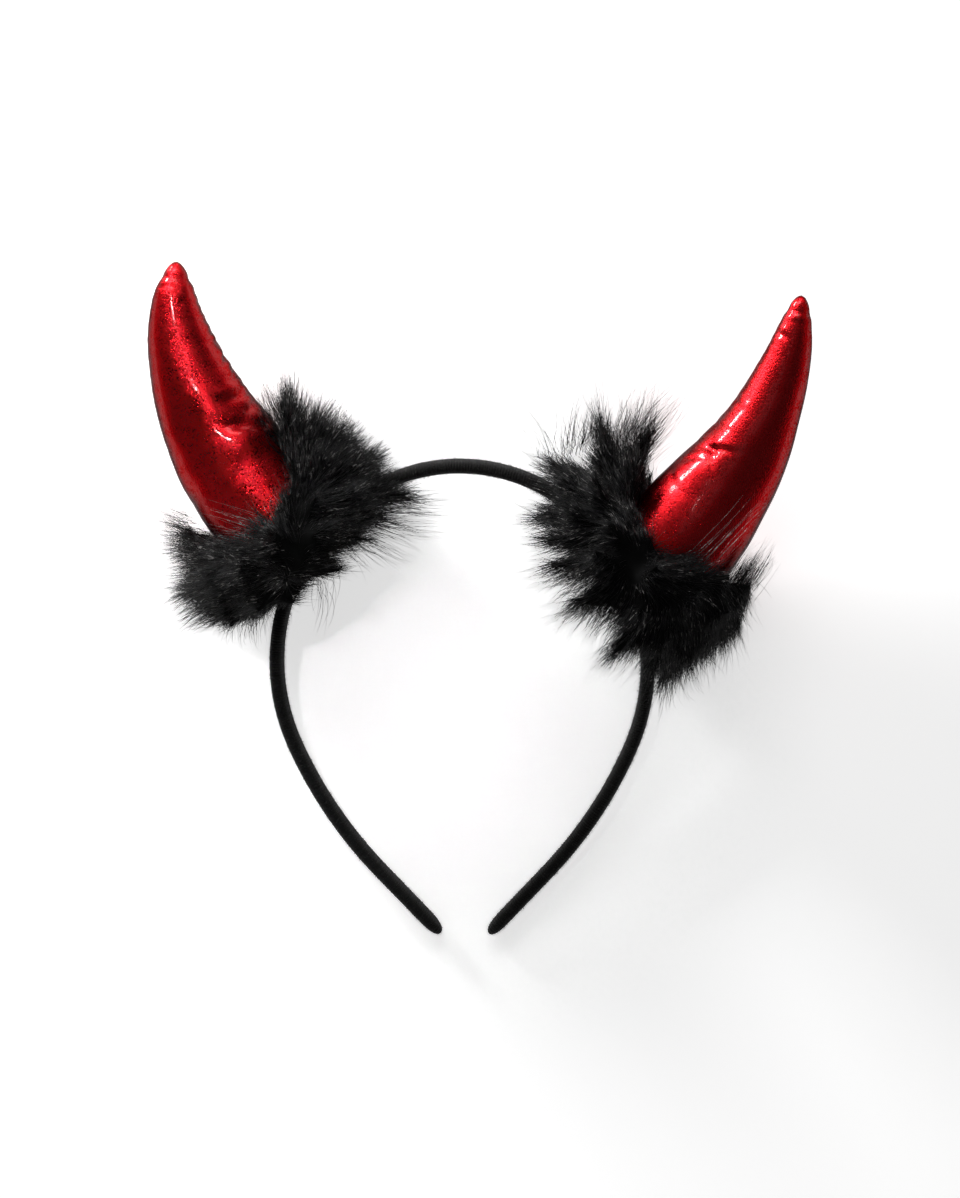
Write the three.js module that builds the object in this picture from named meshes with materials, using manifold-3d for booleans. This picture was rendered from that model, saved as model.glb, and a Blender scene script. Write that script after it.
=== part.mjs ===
// A devil horns headband: a velvet covered hoop that carries two stuffed horns of red foil
// fabric, each with a collar of long black fur round its foot. Millimetres, +Z up.
// It lies on its side: on the backs of the two collars and on the ends of the hoop.
import * as THREE from "three";
import { mergeVertices } from "three/addons/utils/BufferGeometryUtils.js";
import Module from "manifold-3d";

const wasm = await Module();
wasm.setup();

// Pieces that touch keep this gap.
const CLEARANCE = 0.3;

// Hoop: thickness is seen from the front, width from the side.
const HOOP_THICKNESS = 4.8;
const HOOP_WIDTH = 10;
const END_THICKNESS = 4.7;
const END_WIDTH = 8.4;
const END_TAPER = 6;
// How late a leg slims down to its end: 1 is evenly all the way from the crown.
const END_SLIMMING = 3;
const LEG_LENGTH = 29.5;
const CROWN_RADIUS = 58;
// The arcs of one half, from the middle of the crown down to the straight leg.
const HOOP_ARCS = [
  { radius: CROWN_RADIUS, degrees: 40, steps: 8 },
  { radius: 1.207 * CROWN_RADIUS, degrees: 73, steps: 14 },
  { radius: 2.586 * CROWN_RADIUS, degrees: 20, steps: 5 },
];
const LEG_STEPS = 2;
// The blunt point of an end: along and size are shares of the taper and of the full section.
const END_ROUNDING = [
  { along: 0.45, size: 0.9 },
  { along: 0.8, size: 0.7 },
  { along: 0.96, size: 0.45 },
  { along: 1, size: 0.2 },
];
const HOOP_SIDES = 12;
const HOOP_SQUARENESS = 2.6;

// Horns: seat is how far along the hoop from the crown the foot stands. Along is a share of the
// length from foot to tip, turn is how far the middle line has leaned towards the crown by
// there, width and depth are shares of the foot's.
const HORN_SEAT = 66;
const HORN_LENGTH = 112.5;
const FOOT_WIDTH = 40.6;
const FOOT_DEPTH = 37;
const HORN_SIDES = 20;
const HORN_STEPS = 17;
// Steps in which the middle line is followed from the foot.
const WALK_STEPS = 24;
// The ridge of the two seams: sharpness narrows it, and fade is the share of the length, next
// to the tip, over which it dies out.
const SEAM = { ridge: 0.6, sharpness: 24, fade: 0.125 };
// Dents in the cloth: round is a share of a turn from the crown side over the front, reach and
// depth are shares of the foot's width.
const HORNS = {
  left: {
    side: -1,
    seat: 0.909 * HORN_SEAT,
    length: 0.969 * HORN_LENGTH,
    stations: [
      { along: 0, turn: 0, width: 0.95, depth: 0.96 },
      { along: 0.17, turn: 19, width: 1, depth: 1 },
      { along: 0.29, turn: 23, width: 0.99, depth: 0.97 },
      { along: 0.41, turn: 26, width: 0.944, depth: 0.9 },
      { along: 0.585, turn: 34, width: 0.77, depth: 0.75 },
      { along: 0.785, turn: 46, width: 0.544, depth: 0.55 },
      { along: 0.91, turn: 59, width: 0.358, depth: 0.38 },
      { along: 0.97, turn: 62, width: 0.195, depth: 0.215 },
      { along: 0.99, turn: 62, width: 0.125, depth: 0.14 },
      { along: 1, turn: 62, width: 0.05, depth: 0.06 },
    ],
    dents: [
      { along: 0.47, round: 0.07, reach: 0.22, depth: 0.04 },
      { along: 0.4, round: 0.39, reach: 0.27, depth: 0.044 },
      { along: 0.26, round: 0.33, reach: 0.22, depth: 0.03 },
    ],
  },
  right: {
    side: 1,
    seat: 1.091 * HORN_SEAT,
    length: HORN_LENGTH,
    stations: [
      { along: 0, turn: 0, width: 0.94, depth: 0.96 },
      { along: 0.12, turn: 19, width: 0.98, depth: 1 },
      { along: 0.22, turn: 28, width: 0.988, depth: 0.99 },
      { along: 0.3, turn: 28.5, width: 0.958, depth: 0.96 },
      { along: 0.405, turn: 29, width: 0.86, depth: 0.87 },
      { along: 0.51, turn: 34, width: 0.747, depth: 0.77 },
      { along: 0.64, turn: 42, width: 0.586, depth: 0.62 },
      { along: 0.76, turn: 46, width: 0.47, depth: 0.5 },
      { along: 0.87, turn: 52, width: 0.347, depth: 0.37 },
      { along: 0.95, turn: 56, width: 0.23, depth: 0.25 },
      { along: 0.985, turn: 57, width: 0.135, depth: 0.15 },
      { along: 1, turn: 57, width: 0.05, depth: 0.06 },
    ],
    dents: [
      { along: 0.42, round: 0.11, reach: 0.17, depth: 0.032 },
      { along: 0.5, round: 0.33, reach: 0.3, depth: 0.03 },
    ],
  },
};

// Fur collars: a padded ring round the foot, with locks of fur fused to it.
const RING_THICKNESS = 12;
const RING_HEIGHT = 22;
const RING_RISE = 7;
const RING_SADDLE = 4;
// How far out of the foot the ring's middle line lies, as a share of its thickness.
const RING_OFFSET = 0.4;
const RING_STEPS = 20;
const RING_SIDES = 8;
const LOCKS_ROUND = 15;
const LOCK_THICKNESS = 11;
const LOCK_SIDES = 4;
const LOCK_ROOT = 3;
const FUR_LENGTH = 22;
// How far the fur of a collar is pressed flat where it lies on the surface.
const FUR_PRESS = 3.6;
// How uneven the locks are: place is a share of their spacing, tilt is in degrees, length is a
// share of their length.
const SCATTER = { place: 0.25, tilt: 8, length: 0.15 };
// A lock's own form: along and size are shares of its length and of its thickness.
const LOCK_FORM = [
  { along: 0, size: 1 },
  { along: 0.4, size: 0.8 },
  { along: 0.75, size: 0.42 },
  { along: 1, size: 0.08 },
];
// The rows of locks: pitch is the angle from straight out of the ring towards the horn's tip,
// lean is how much of it is lost on the crown side, where the horn leans over the fur, and won
// on the far side. The column named by comb, below, gives the row's length.
const LOCK_ROWS = [
  { pitch: 80, lean: 20, shift: 0, comb: "rise" },
  { pitch: 28, lean: 0, shift: 0.5, comb: "spread" },
  { pitch: -14, lean: 0, shift: 0, comb: "spread" },
  { pitch: -58, lean: 0, shift: 0.5, comb: "fall" },
];
// Fur length as shares of FUR_LENGTH. Round is a share of a turn from the crown side over the
// front; sweep is the angle that the locks are combed round the horn, towards larger rounds.
const FUR = {
  left: [
    { round: 0, rise: 1.15, spread: 0.4, fall: 1, sweep: 0 },
    { round: 0.125, rise: 0.75, spread: 0.5, fall: 0.6, sweep: -25 },
    { round: 0.25, rise: 0.15, spread: 0.5, fall: 0.35, sweep: -30 },
    { round: 0.375, rise: 0.4, spread: 0.5, fall: 0.15, sweep: 20 },
    { round: 0.5, rise: 1, spread: 0.5, fall: 0.15, sweep: 0 },
    { round: 0.625, rise: 0.5, spread: 0.5, fall: 0.2, sweep: -20 },
    { round: 0.75, rise: 0.3, spread: 0.7, fall: 0.4, sweep: 15 },
    { round: 0.875, rise: 0.7, spread: 0.65, fall: 0.6, sweep: 20 },
  ],
  right: [
    { round: 0, rise: 1.35, spread: 1.1, fall: 0.9, sweep: 0 },
    { round: 0.125, rise: 0.45, spread: 0.7, fall: 0.8, sweep: -30 },
    { round: 0.25, rise: 0.2, spread: 0.5, fall: 0.6, sweep: -30 },
    { round: 0.375, rise: 0.4, spread: 0.4, fall: 0.65, sweep: 15 },
    { round: 0.5, rise: 0.6, spread: 0.15, fall: 0.7, sweep: 0 },
    { round: 0.625, rise: 0.4, spread: 0.5, fall: 0.65, sweep: -15 },
    { round: 0.75, rise: 0.3, spread: 0.7, fall: 0.6, sweep: 15 },
    { round: 0.875, rise: 0.6, spread: 0.8, fall: 0.8, sweep: 20 },
  ],
};

// Everything is made in the plane of the hoop: x across, y up to the crown, z to the front.
const FRONT = new THREE.Vector3(0, 0, 1);
const radians = THREE.MathUtils.degToRad;

// The value of one column of a table, at a place between its rows.
function readTable(rows, key, at, column) {
  const last = rows.length - 1;
  const found = rows.findIndex((row) => row[key] > at);
  const i = found < 0 ? last : Math.max(found, 1);
  const [from, to] = [rows[i - 1], rows[i]];
  const share = THREE.MathUtils.clamp((at - from[key]) / (to[key] - from[key]), 0, 1);
  return THREE.MathUtils.lerp(from[column], to[column], share);
}

// A place on a middle line: its point, its direction and the direction to its left.
function placeOf(point, heading) {
  const ahead = new THREE.Vector3(Math.sin(heading), Math.cos(heading), 0);
  return { point, heading, ahead, left: new THREE.Vector3().crossVectors(FRONT, ahead) };
}

// The hoop's middle line, so many millimetres from the crown's middle: side is -1 or 1.
function hoopPlace(side, distance) {
  const point = new THREE.Vector3();
  let turned = 0;
  let rest = distance;
  for (const { radius, degrees } of HOOP_ARCS) {
    const angle = Math.min(rest / radius, radians(degrees));
    point.x += radius * (Math.sin(turned + angle) - Math.sin(turned));
    point.y += radius * (Math.cos(turned + angle) - Math.cos(turned));
    turned += angle;
    rest -= angle * radius;
  }
  point.x += rest * Math.cos(turned);
  point.y -= rest * Math.sin(turned);
  point.x *= side;
  return placeOf(point, Math.PI / 2 + side * turned);
}

// A ring of points about a place: halfAcross lies in the hoop's plane, halfDeep goes to the front.
function sectionRing(place, halfAcross, halfDeep, sides, squareness, shape = () => 0) {
  const soft = (value) => Math.sign(value) * Math.abs(value) ** (2 / squareness);
  return Array.from({ length: sides }, (_, k) => {
    const angle = (2 * Math.PI * k) / sides;
    const across = halfAcross * soft(Math.cos(angle));
    const deep = halfDeep * soft(Math.sin(angle));
    const swell = 1 + shape(angle) / Math.hypot(across, deep);
    return place.point
      .clone()
      .addScaledVector(place.left, across * swell)
      .addScaledVector(FRONT, deep * swell);
  });
}

// A closed solid skinned over rings of points, and closed at each end or joined into a loop.
function loft(rings, loop = false) {
  const sides = rings[0].length;
  const position = rings.flat().flatMap((point) => point.toArray());
  const index = [];
  const spans = loop ? rings.length : rings.length - 1;
  for (let i = 0; i < spans; i += 1) {
    const here = i * sides;
    const next = ((i + 1) % rings.length) * sides;
    for (let k = 0; k < sides; k += 1) {
      const k1 = (k + 1) % sides;
      index.push(here + k, here + k1, next + k1, here + k, next + k1, next + k);
    }
  }
  const lastRing = (rings.length - 1) * sides;
  for (let k = 1; !loop && k < sides - 1; k += 1) {
    index.push(0, k + 1, k, lastRing, lastRing + k, lastRing + k + 1);
  }
  const geometry = new THREE.BufferGeometry();
  geometry.setAttribute("position", new THREE.Float32BufferAttribute(position, 3));
  geometry.setIndex(index);
  return solidOf(geometry);
}

function solidOf(geometry) {
  const plain = geometry.clone();
  plain.deleteAttribute("normal");
  plain.deleteAttribute("uv");
  const merged = mergeVertices(plain, 1e-4);
  const vertProperties = new Float32Array(merged.attributes.position.array);
  const triVerts = new Uint32Array(merged.index.array);
  return new wasm.Manifold(new wasm.Mesh({ numProp: 3, vertProperties, triVerts }));
}

function meshOf(name, solid, material) {
  const { vertProperties, triVerts } = solid.getMesh();
  const geometry = new THREE.BufferGeometry();
  geometry.setAttribute("position", new THREE.BufferAttribute(vertProperties, 3));
  geometry.setIndex(new THREE.BufferAttribute(triVerts, 1));
  geometry.computeVertexNormals();
  const mesh = new THREE.Mesh(geometry, material);
  mesh.name = name;
  return mesh;
}

// The main body of a solid, without the crumbs that a cut leaves.
function mainBody(solid) {
  return solid.decompose().sort((a, b) => b.volume() - a.volume())[0];
}

// Hoop

// The stations of one half: distance from the crown, and the section's shares there.
function hoopStations() {
  const stations = [];
  let distance = 0;
  for (const { radius, degrees, steps } of HOOP_ARCS) {
    const step = (radius * radians(degrees)) / steps;
    for (let i = 0; i < steps; i += 1) stations.push({ distance: distance + i * step, size: 1 });
    distance += radius * radians(degrees);
  }
  const taperStart = distance + LEG_LENGTH - END_TAPER;
  for (let i = 0; i <= LEG_STEPS; i += 1) {
    const at = THREE.MathUtils.lerp(distance, taperStart, i / LEG_STEPS);
    stations.push({ distance: at, size: 1 });
  }
  for (const { along, size } of END_ROUNDING) {
    stations.push({ distance: taperStart + along * END_TAPER, size });
  }
  return stations;
}

const HALF_LENGTH = hoopStations().at(-1).distance;

function hoopSolid(extra) {
  const half = hoopStations();
  const ringAt = (side, { distance, size }) => {
    const slim = (distance / HALF_LENGTH) ** END_SLIMMING;
    const thickness = THREE.MathUtils.lerp(HOOP_THICKNESS, END_THICKNESS, slim) * size;
    const width = THREE.MathUtils.lerp(HOOP_WIDTH, END_WIDTH, slim) * size;
    const place = hoopPlace(side, distance);
    return sectionRing(place, thickness / 2 + extra, width / 2 + extra, HOOP_SIDES, HOOP_SQUARENESS);
  };
  const left = half.slice(1).reverse();
  return loft([...left.map((s) => ringAt(-1, s)), ...half.map((s) => ringAt(1, s))]);
}

// Horns

// The horn's middle line, so many millimetres from its foot on the hoop.
function hornPlace({ side, seat, length, stations }, distance) {
  const foot = hoopPlace(side, seat);
  const outward = foot.heading - Math.PI / 2;
  const headingAt = (at) => outward - side * radians(readTable(stations, "along", at / length, "turn"));
  const stride = distance / WALK_STEPS;
  const point = foot.point.clone();
  for (let i = 0; i < WALK_STEPS; i += 1) {
    const { ahead } = placeOf(point, headingAt((i + 0.5) * stride));
    point.addScaledVector(ahead, stride);
  }
  return placeOf(point, headingAt(distance));
}

// The angle from one direction to another, the short way.
function angleBetween(from, to) {
  return Math.atan2(Math.sin(to - from), Math.cos(to - from));
}

function hornSolid(horn, extra) {
  const { side, length, stations, dents } = horn;
  const rings = Array.from({ length: HORN_STEPS + 1 }, (_, i) => {
    const along = i / HORN_STEPS;
    const halfAcross = (FOOT_WIDTH / 2) * readTable(stations, "along", along, "width");
    const halfDeep = (FOOT_DEPTH / 2) * readTable(stations, "along", along, "depth");
    const ridge = SEAM.ridge * Math.min(1, (1 - along) / SEAM.fade);
    // An angle of the section counts from its left, which is the crown side on the right horn.
    const shape = (angle) => {
      const round = side > 0 ? angle : Math.PI - angle;
      return dents.reduce((sum, dent) => {
        const aside = angleBetween(2 * Math.PI * dent.round, round) * halfAcross;
        const away = Math.hypot((along - dent.along) * length, aside) / (dent.reach * FOOT_WIDTH);
        return sum - dent.depth * FOOT_WIDTH * Math.exp(-away * away);
      }, ridge * Math.abs(Math.cos(angle)) ** SEAM.sharpness);
    };
    const place = hornPlace(horn, along * length);
    return sectionRing(place, halfAcross + extra, halfDeep + extra, HORN_SIDES, 2, shape);
  });
  return loft(rings);
}

// Fur collars

// The frame of a collar's ring at an angle round the horn, from the crown side over the front.
function ringPlace(horn, round) {
  const centre = hornPlace(horn, RING_RISE);
  const crownward = centre.left.clone().multiplyScalar(horn.side);
  const radial = crownward.multiplyScalar(Math.cos(round)).addScaledVector(FRONT, Math.sin(round));
  const halfAcross = FOOT_WIDTH / 2 + CLEARANCE + RING_THICKNESS * RING_OFFSET;
  const halfDeep = FOOT_DEPTH / 2 + CLEARANCE + RING_THICKNESS * RING_OFFSET;
  const point = centre.point
    .clone()
    .addScaledVector(centre.left, horn.side * halfAcross * Math.cos(round))
    .addScaledVector(FRONT, halfDeep * Math.sin(round))
    .addScaledVector(centre.ahead, RING_SADDLE * Math.cos(2 * round));
  return { point, radial, ahead: centre.ahead };
}

// A point on the ring's skin, with the way out of it: pitch turns from straight out to the tip.
function ringSkin(horn, round, pitch) {
  const { point, radial, ahead } = ringPlace(horn, round);
  const skin = point
    .clone()
    .addScaledVector(radial, (RING_THICKNESS / 2) * Math.cos(pitch))
    .addScaledVector(ahead, (RING_HEIGHT / 2) * Math.sin(pitch));
  const out = radial.multiplyScalar(Math.cos(pitch)).addScaledVector(ahead, Math.sin(pitch));
  return { skin, out };
}

function lockSolid({ skin, out }, sweep, length) {
  const aside = new THREE.Vector3(0, 1, 0).cross(out).normalize();
  const over = new THREE.Vector3().crossVectors(out, aside);
  const rings = LOCK_FORM.map(({ along, size }) => {
    const centre = skin
      .clone()
      .addScaledVector(out, (length + LOCK_ROOT) * along - LOCK_ROOT)
      .addScaledVector(sweep, length * along * along);
    return Array.from({ length: LOCK_SIDES }, (_, k) => {
      const angle = (2 * Math.PI * k) / LOCK_SIDES;
      return centre
        .clone()
        .addScaledVector(aside, (LOCK_THICKNESS / 2) * size * Math.cos(angle))
        .addScaledVector(over, (LOCK_THICKNESS / 2) * size * Math.sin(angle));
    });
  });
  return loft(rings);
}

// A number from -1 to 1 that looks random but is the same each time: one for each lock and use.
const NOISE = { step: 12.9898, gain: 43.758, apart: 200 };

function wobble(lock, use) {
  const wave = Math.sin((lock + use * NOISE.apart) * NOISE.step) * NOISE.gain;
  return 2 * (wave - Math.floor(wave)) - 1;
}

function collarSolid(horn, fur) {
  const table = [...fur, { ...fur[0], round: 1 }];
  const rings = Array.from({ length: RING_STEPS }, (_, i) => {
    const round = (2 * Math.PI * i) / RING_STEPS;
    return Array.from({ length: RING_SIDES }, (_, k) => {
      const pitch = (-horn.side * 2 * Math.PI * k) / RING_SIDES;
      return ringSkin(horn, round, pitch).skin;
    });
  });
  let collar = loft(rings, true);
  LOCK_ROWS.forEach(({ pitch, lean, shift, comb }, row) => {
    for (let i = 0; i < LOCKS_ROUND; i += 1) {
      const lock = row * LOCKS_ROUND + i + 1;
      const place = (i + shift + SCATTER.place * wobble(lock, 0)) / LOCKS_ROUND;
      const round = THREE.MathUtils.euclideanModulo(place, 1);
      const angle = 2 * Math.PI * round;
      const reach = readTable(table, "round", round, comb);
      const sweep = Math.tan(radians(readTable(table, "round", round, "sweep")));
      const tilt = pitch - lean * Math.cos(angle) + SCATTER.tilt * wobble(lock, 1);
      const skin = ringSkin(horn, angle, radians(tilt));
      const onward = ringPlace(horn, angle + Math.PI / 2).radial;
      const length = FUR_LENGTH * reach * (1 + SCATTER.length * wobble(lock, 2));
      collar = collar.add(lockSolid(skin, onward.multiplyScalar(sweep), length));
    }
  });
  return collar;
}

// The whole

// The backs of the collars and the ends of the hoop lie on the surface, so the hoop's plane
// leans back by the angle that brings all of them down.
const seats = Object.values(HORNS).map(({ side, seat }) => hoopPlace(side, seat).point.y);
const ringReach = RING_THICKNESS * (RING_OFFSET + 0.5);
const restHeight = FOOT_DEPTH / 2 + CLEARANCE + ringReach - FUR_PRESS;
const legTip = hoopPlace(1, HALF_LENGTH - END_TAPER).point.y;
const span = (seats[0] + seats[1]) / 2 + RING_RISE - legTip;
const lean = Math.asin(restHeight / Math.hypot(span, END_WIDTH / 2)) - Math.atan(END_WIDTH / 2 / span);

const velvet = new THREE.MeshStandardMaterial({ color: 0x16120f, roughness: 0.95, metalness: 0 });
const foil = new THREE.MeshStandardMaterial({ color: 0xb00c18, roughness: 0.3, metalness: 0.8 });
const fur = new THREE.MeshStandardMaterial({ color: 0x0b0b0d, roughness: 0.6, metalness: 0 });

const leaning = new THREE.Group();
leaning.rotation.x = lean;
leaning.add(meshOf("headband", hoopSolid(0), velvet));
leaning.position.z = -new THREE.Box3().setFromObject(leaning, true).min.z;
leaning.updateMatrixWorld(true);

// Everything above the surface, as a block in the hoop's own plane.
const ROOM = 4 * HALF_LENGTH;
const above = new THREE.BoxGeometry(ROOM, ROOM, ROOM).translate(0, 0, ROOM / 2);
const aboveSurface = solidOf(above.applyMatrix4(leaning.matrixWorld.clone().invert()));

const hoopRoom = hoopSolid(CLEARANCE);
for (const [name, horn] of Object.entries(HORNS)) {
  const solid = mainBody(hornSolid(horn, 0).subtract(hoopRoom));
  leaning.add(meshOf(`horn_${name}`, solid, foil));
  const room = hornSolid(horn, CLEARANCE).add(hoopRoom);
  const collar = mainBody(collarSolid(horn, FUR[name]).subtract(room).intersect(aboveSurface));
  leaning.add(meshOf(`fur_collar_${name}`, collar, fur));
}

const headband = new THREE.Group();
headband.add(leaning);
const box = new THREE.Box3().setFromObject(headband, true);
leaning.position.x = -(box.min.x + box.max.x) / 2;
leaning.position.y = -(box.min.y + box.max.y) / 2;
export default headband;
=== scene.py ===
# %% [markdown]
# # A devil horns headband
# This lesson dresses a measured model of a costume headband. The model gives the true sizes:
# a hoop, two stuffed horns and a ring of fur round the foot of each. Here each of them gets
# the look of the real thing: velvet with fine ribs, foil printed cloth with creases, and some
# tens of thousands of single hairs. The headband lies on its back on a pale table, as it was
# put down to be photographed.

# %% Load the measured frame
import math
import bpy
import numpy as np
from mathutils import Matrix, Vector


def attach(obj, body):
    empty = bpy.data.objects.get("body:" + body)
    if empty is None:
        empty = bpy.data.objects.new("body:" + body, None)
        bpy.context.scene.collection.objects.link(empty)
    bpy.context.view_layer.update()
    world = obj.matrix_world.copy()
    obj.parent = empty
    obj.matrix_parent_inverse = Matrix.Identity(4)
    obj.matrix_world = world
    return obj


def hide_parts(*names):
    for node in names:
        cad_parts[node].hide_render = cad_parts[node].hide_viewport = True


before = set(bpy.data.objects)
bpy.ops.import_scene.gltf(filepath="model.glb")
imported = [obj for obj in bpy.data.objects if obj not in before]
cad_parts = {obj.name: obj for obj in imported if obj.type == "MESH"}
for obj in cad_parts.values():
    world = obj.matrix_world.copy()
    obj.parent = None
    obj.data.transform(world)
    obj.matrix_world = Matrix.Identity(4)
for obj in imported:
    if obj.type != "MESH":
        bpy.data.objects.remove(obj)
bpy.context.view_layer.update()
MM = 0.001
rng = np.random.default_rng(11)

# %% [markdown]
# ## Where the hoop lies
# The hoop is flat, but it doesn't lie flat: its fur props up the crown. Everything is easiest
# to make in the hoop's own plane, x across, y up to the crown and z to the front, and to be
# moved into place at the end. The flattest direction of the hoop's own points gives the
# plane, so nothing has to be typed twice.

# %% Find the hoop's plane
HOOP_THICKNESS = 4.8
hoop_points = np.array([v.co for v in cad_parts["headband"].data.vertices])
hoop_points = np.unique(hoop_points.round(7), axis=0)
middle = (hoop_points.min(0) + hoop_points.max(0)) / 2
spread = np.linalg.svd(hoop_points - hoop_points.mean(0), full_matrices=False)[2]
FRONT = spread[2] * np.sign(spread[2][2])
FRONT[0] = 0
FRONT = FRONT / np.linalg.norm(FRONT)
ACROSS = np.array([1.0, 0.0, 0.0])
UP = np.cross(FRONT, ACROSS)
plane_height = (hoop_points.mean(0) - middle) @ FRONT
crown = middle + FRONT * plane_height
crown = crown + UP * (((hoop_points - crown) @ UP).max() - HOOP_THICKNESS / 2 * MM)
plane_rows = [[*row, place] for row, place in zip(np.array([ACROSS, UP, FRONT]).T, crown)]
PLANE = Matrix(plane_rows + [[0, 0, 0, 1]])
print("the hoop leans back", round(math.degrees(math.asin(UP[2])), 2), "degrees; crown at",
      (crown / MM).round(2), "mm")

# %% [markdown]
# ## The two middle lines
# A hoop is bent from a straight strip, so its line is a few arcs and a straight leg. A horn's
# line starts square to the hoop and leans over towards the crown by a set angle at each
# share of its length. These are the same sizes as the measured model's.

# %% Middle lines of the hoop and the horns
HOOP_ARCS = [(58.0, 40.0), (70.0, 73.0), (150.0, 20.0)]
LEG_LENGTH = 29.5
HALF_LENGTH = sum(radius * math.radians(angle) for radius, angle in HOOP_ARCS) + LEG_LENGTH
FOOT_WIDTH, FOOT_DEPTH = 40.6, 37.0
# A horn's line is walked in short strides, so many for each point that is kept. Places on a
# horn are looked up among FINE_STEPS points.
STRIDES, FINE_STEPS = 40, 220

# Along, turn, width, depth: shares of the length, degrees, shares of the foot's width and depth.
LEFT_FORM = np.array([
    (0, 0, 0.95, 0.96), (0.17, 19, 1, 1), (0.29, 23, 0.99, 0.97), (0.41, 26, 0.944, 0.9),
    (0.585, 34, 0.77, 0.75), (0.785, 46, 0.544, 0.55), (0.91, 59, 0.358, 0.38),
    (0.97, 62, 0.21, 0.225), (0.99, 62, 0.15, 0.16), (1, 62, 0.06, 0.07)])
RIGHT_FORM = np.array([
    (0, 0, 0.94, 0.96), (0.12, 19, 0.98, 1), (0.22, 28, 0.988, 0.99), (0.3, 28.5, 0.958, 0.96),
    (0.405, 29, 0.86, 0.87), (0.51, 34, 0.747, 0.77), (0.64, 42, 0.586, 0.62),
    (0.76, 46, 0.47, 0.5), (0.87, 52, 0.347, 0.37), (0.95, 56, 0.23, 0.25),
    (0.985, 57, 0.15, 0.16), (1, 57, 0.06, 0.07)])
HORNS = {
    "left": {"side": -1, "seat": 60.0, "length": 109.0, "form": LEFT_FORM},
    "right": {"side": 1, "seat": 72.0, "length": 112.5, "form": RIGHT_FORM},
}


def hoop_place(side, distance):
    """A point of the hoop's line and its heading, so many millimetres from the crown."""
    x = y = turned = 0.0
    rest = distance
    for radius, degrees in HOOP_ARCS:
        angle = min(rest / radius, math.radians(degrees))
        x += radius * (math.sin(turned + angle) - math.sin(turned))
        y += radius * (math.cos(turned + angle) - math.cos(turned))
        turned += angle
        rest -= angle * radius
    x += rest * math.cos(turned)
    y -= rest * math.sin(turned)
    return np.array([side * x, y, 0.0]), math.pi / 2 + side * turned


def horn_line(horn, steps):
    """Evenly spaced points, headings and half sizes along a horn's line, from foot to tip."""
    side, length, form = horn["side"], horn["length"], horn["form"]
    foot, hoop_heading = hoop_place(side, horn["seat"])
    walk = np.linspace(0, 1, STRIDES * steps + 1)
    heading = hoop_heading - math.pi / 2 - side * np.radians(np.interp(walk, form[:, 0], form[:, 1]))
    stride = length / (len(walk) - 1)
    half = (heading[1:] + heading[:-1]) / 2
    way = np.stack([np.sin(half), np.cos(half), 0 * half], 1) * stride
    points = foot + np.vstack([np.zeros(3), way.cumsum(0)])
    across = FOOT_WIDTH / 2 * np.interp(walk, form[:, 0], form[:, 2])
    deep = FOOT_DEPTH / 2 * np.interp(walk, form[:, 0], form[:, 3])
    pick = slice(None, None, STRIDES)
    return points[pick], heading[pick], across[pick], deep[pick]


for name, horn in HORNS.items():
    tip = horn_line(horn, 10)[0][-1]
    print(name, "horn: foot", hoop_place(horn["side"], horn["seat"])[0].round(1), "tip", tip.round(1))

# %% [markdown]
# ## Sweeping a form along a line
# Hoop and horns are the same kind of shape: a rounded section that travels along a line,
# turns with it and changes size. By hand that is a circle, then extrude, rotate and scale
# again and again. One helper does this for all of them.

# %% A helper that extrudes a section along a line
def sweep(name, sides, rings, squareness=2.0):
    """Makes a closed form. Each ring is (point, heading, half across, half deep) in mm."""
    point, heading, across, deep = rings[0]
    bpy.ops.object.select_all(action="DESELECT")
    bpy.ops.mesh.primitive_circle_add(vertices=sides, radius=across * MM, fill_type="NGON",
                                      location=Vector(point) * MM,
                                      rotation=(-math.pi / 2, 0, -heading))
    piece = bpy.context.object
    piece.name = piece.data.name = name
    for vertex in piece.data.vertices:
        x, y, _ = vertex.co / (across * MM)
        vertex.co.x = math.copysign(abs(x) ** (2 / squareness), x) * across * MM
        vertex.co.y = math.copysign(abs(y) ** (2 / squareness), y) * deep * MM
    bpy.ops.object.mode_set(mode="EDIT")
    bpy.ops.mesh.select_all(action="SELECT")
    for next_point, next_heading, next_across, next_deep in rings[1:]:
        centre = Vector(next_point) * MM
        bpy.ops.mesh.extrude_region_move(
            TRANSFORM_OT_translate={"value": centre - Vector(point) * MM})
        bpy.ops.transform.rotate(value=next_heading - heading, orient_axis="Z", center_override=centre)
        wide, tall = next_across / across, next_deep / deep
        bpy.ops.transform.resize(value=(wide, wide, tall), center_override=centre)
        point, heading, across, deep = next_point, next_heading, next_across, next_deep
    bpy.ops.mesh.select_all(action="SELECT")
    bpy.ops.mesh.normals_make_consistent(inside=False)
    bpy.ops.object.mode_set(mode="OBJECT")
    bpy.ops.object.transform_apply(location=True, rotation=True, scale=True)
    print(name, "has", len(piece.data.vertices), "points in", len(rings), "rings")
    return piece


def points_of(piece):
    """The points of a mesh in millimetres, as rows of x, y, z."""
    points = np.empty(len(piece.data.vertices) * 3)
    piece.data.vertices.foreach_get("co", points)
    return points.reshape(-1, 3) / MM


def set_points(piece, points):
    """Puts rows of x, y, z in millimetres back into a mesh."""
    piece.data.vertices.foreach_set("co", (points * MM).ravel())
    piece.data.update()


def apply_modifier(piece, kind, **settings):
    """Adds one modifier, sets it and applies it."""
    bpy.ops.object.select_all(action="DESELECT")
    bpy.context.view_layer.objects.active = piece
    piece.select_set(True)
    modifier = piece.modifiers.new(kind, kind)
    for key, value in settings.items():
        setattr(modifier, key, value)
    bpy.ops.object.modifier_apply(modifier=modifier.name)


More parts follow.
